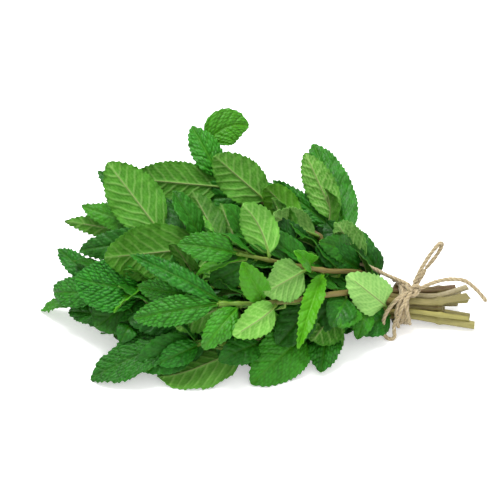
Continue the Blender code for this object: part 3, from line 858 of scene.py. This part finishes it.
def stalkOn(bm, key, x, base, tip, row, seed):
    # the leaf stalk, from the stem's axis into the midrib, which stands out under the blade
    width, bows, face, fold, curl, twist, sway = row[:7]
    at = bladeFrame(base, tip, bows, face, twist, sway)
    v = np.linspace(0, 0.85, 26)
    centre, ahead, across, normal = at(v)
    radius = 0.72 * (1 - smoothStep(0, 0.22, v) * 0.62) * (1 - v) ** 0.6 * min(1, width / 18 + 0.3) + 0.06
    waves = np.random.default_rng(seed).uniform(0, 2 * math.pi, 8)
    dip = midribDip(v * float(np.linalg.norm(tip - base)), v, waves)
    centre = centre + normal * (dip - bladeBuild["thickness"] - 0.45 * radius)[:, None]
    axis = stemPlace(key, x)[0]
    start = axis + (centre[0] - axis) * np.array([[0.0], [0.45], [0.8]])
    path = np.vstack([start, centre])
    radius = np.concatenate([[radius[0] * 0.9, radius[0] * 0.9, radius[0]], radius])
    path[:, 2] = np.maximum(path[:, 2], radius + bladeBuild["floor"])
    along, side, cross = ringAxes(path, tuple(across[0]))

    def shape(u, t):
        k = np.round(t * (len(path) - 1)).astype(int)
        angle = math.pi * u
        spots = around(path[k], angle, radius[k], side[k], cross[k])
        run = np.stack([angle * 0.8, t * 30, np.full_like(t, seed)], 1)
        bark = np.stack([np.ones_like(t), np.zeros_like(t), 0.5 * smoothStep(0.1, 0.5, t)], 1)
        return spots, {"run": run, "bark": bark}

    gridMesh(bm, 8, len(path) - 1, shape, tube=True)


def thicken(piece):
    shell = piece.modifiers.new("thickness", "SOLIDIFY")
    shell.thickness = bladeBuild["thickness"] * mm
    shell.offset = -1
    shell.material_offset = 1
    shell.material_offset_rim = 1


def innerRow(x, tip, length, outward, rng):
    # one more leaf in the form of leafWays
    face = (40 if outward[1] < 0 else -25) + rng.uniform(-25, 25)
    width = length * innerFoliage["slimness"] * rng.uniform(0.85, 1.1)
    bows = (rng.uniform(1, 5), rng.uniform(2, 6))
    return (x, tuple(tip), width, bows, face, rng.uniform(0, 14), rng.uniform(-20, 5), rng.uniform(-15, 15),
            rng.uniform(-2, 2), rng.uniform(0.12, 0.4), rng.uniform(0.6, 1.0), rng.uniform(0, 0.12))


def innerRows(key, rng):
    ways = innerFoliage
    if key in ways["none"]:
        return []
    sky = np.array(ways["skyline"])
    away = np.array((0, ways["slant"][1], -ways["slant"][0]))
    end = stemLine(key, 1.0)[:, 0].min()
    turns = ways["behindOnly"] if key in ways["hiders"] else ways["sidewaysToo"]
    rows = []
    for turn, x in enumerate(np.arange(-17, end + 4, -ways["every"])):
        axis, along, radius = stemPlace(key, x)
        aside = unit(np.cross(along, away))
        behind = unit(away - along * (away @ along))
        for angle in turns[turn % len(turns)]:
            for _ in range(ways["tries"]):   # until the tip stays in the bunch
                turned = math.radians(angle + rng.uniform(-22, 22))
                spread = math.radians(rng.uniform(*ways["spread"]))
                length = rng.uniform(*ways["length"])
                outward = math.cos(turned) * aside + math.sin(turned) * behind
                tip = axis + length * (math.cos(spread) * along + math.sin(spread) * outward)
                tip[2] = max(tip[2], ways["lowest"])
                height = tip[1:] @ np.array(ways["slant"])
                low, high = (np.interp(tip[0], sky[:, 0], sky[:, k]) for k in (1, 2))
                inside = low + ways["margin"] < height < high - ways["margin"]
                if inside and tip[0] > ways["farthest"] and tip[1] < ways["deepest"]:
                    rows.append(innerRow(x, tip, length, outward, rng))
                    break
    return rows


def buildInnerLeaves():
    for seed, key in enumerate(stemWays, 500):
        rows = [(row, underWays.get(name, (0.5, 0))) for name, row in betweenWays.items() if name[0] == key]
        fine = len(rows)
        rows += [(row, (0.5, 0)) for row in innerRows(key, np.random.default_rng(seed))]
        bm, stalks = bmesh.new(), bmesh.new()
        for number, (row, under) in enumerate(rows):
            tip = np.array(row[1], float)
            base = leafBase(key, row[0], tip)
            coarse = 1.15 if number < fine else innerFoliage["coarse"]
            bladeOn(bm, base, tip, row[2:], seed * 40 + number, coarse, under)
            stalkOn(stalks, key, row[0], base, tip, row[2:], seed * 40 + number)
        if rows:
            thicken(finishPiece("inner_leaves_" + key, bm, leafSkins))
            finishPiece("inner_stalks_" + key, stalks, [stemSkin])


def leafSeed(name):
    return 100 + list(leafWays).index(name)


def buildLeaves():
    for name, row in leafWays.items():
        tip = np.array(row[1], float)
        bm = bmesh.new()
        coarse = 1.0 - 0.25 * (row[9] >= 0.3)   # blistered leaves have a finer grid
        base = leafBase(name[0], row[0], tip)
        bladeOn(bm, base, tip, row[2:], leafSeed(name), coarse, underWays.get(name, (0.5, 0)))
        piece = finishPiece("mint_leaf_" + name, bm, leafSkins, ["leaf_" + name])
        thicken(piece)


def buildStems():
    for seed, key in enumerate(stemWays, 40):
        mine = {name: row for name, row in leafWays.items() if name[0] == key}
        bm = bmesh.new()
        stemOn(bm, key, sorted({row[0] for row in mine.values()} | {-14 if key in "ad" else 19}), seed)
        for name, row in mine.items():
            tip = np.array(row[1], float)
            stalkOn(bm, key, row[0], leafBase(key, row[0], tip), tip, row[2:], leafSeed(name))
        finishPiece("mint_stem_" + key, bm, [stemSkin], ["stem_" + key])


buildStems()
print("stems ready")
buildLeaves()
buildInnerLeaves()
print("leaves ready")


# Floor and light
stageWays = {"floorSize": 6.0, "world": 0.85, "glossDim": 0.8, "key": 10.0, "fill": 2.0, "lift": 0.4}


def areaLight(name, place, aim, size, power):
    lamp = bpy.data.lights.new(name, "AREA")
    lamp.shape = "DISK"
    lamp.size = size
    lamp.energy = power
    made = bpy.data.objects.new(name, lamp)
    bpy.context.scene.collection.objects.link(made)
    made.location = place
    made.rotation_mode = "QUATERNION"
    made.rotation_quaternion = (Vector(aim) - Vector(place)).to_track_quat("-Z", "Y")


def buildStage():
    bm = bmesh.new()
    bmesh.ops.create_grid(bm, x_segments=1, y_segments=1, size=stageWays["floorSize"])
    mesh = bpy.data.meshes.new("floor")
    bm.to_mesh(mesh)
    bm.free()
    floor = bpy.data.objects.new("floor", mesh)
    bpy.context.scene.collection.objects.link(floor)
    material, tree, shader = newMaterial("paleFloor", Specular_IOR_Level=0.1, Roughness=0.8)
    place = addNode(tree, "TexCoord").outputs["Object"]
    noise = addNode(tree, "TexNoise", {"Vector": place, "Scale": 3.0})
    tone = addNode(tree, "MapRange", {0: noise.outputs[0], 1: 0.3, 2: 0.7, 3: 0.92, 4: 0.94})
    tree.links.new(tone.outputs[0], shader.inputs["Base Color"])
    seen = addNode(tree, "LightPath").outputs["Is Camera Ray"]   # lifts the shadows on the floor only
    shader.inputs["Emission Color"].default_value = (1, 1, 1, 1)
    tree.links.new(sums(tree, "MULTIPLY", seen, stageWays["lift"]), shader.inputs["Emission Strength"])
    mesh.materials.append(material)
    world = bpy.data.worlds.new("studio")
    world.use_nodes = True
    sky = world.node_tree.nodes["Background"]
    sky.inputs["Color"].default_value = (1, 1, 1, 1)
    glossy = addNode(world.node_tree, "LightPath").outputs["Is Glossy Ray"]   # gloss sees a dimmer room
    dimmer = sums(world.node_tree, "MULTIPLY", glossy, stageWays["world"] * stageWays["glossDim"])
    strength = sums(world.node_tree, "SUBTRACT", stageWays["world"], dimmer)
    world.node_tree.links.new(strength, sky.inputs["Strength"])
    bpy.context.scene.world = world
    areaLight("key", (-0.22, 0.1, 1.1), (0, 0, 0), 0.5, stageWays["key"])
    areaLight("fill", (0.4, -0.9, 0.9), (0, 0, 0), 0.8, stageWays["fill"])
    bpy.context.scene.view_settings.view_transform = "Standard"


buildStage()
print("stage ready")
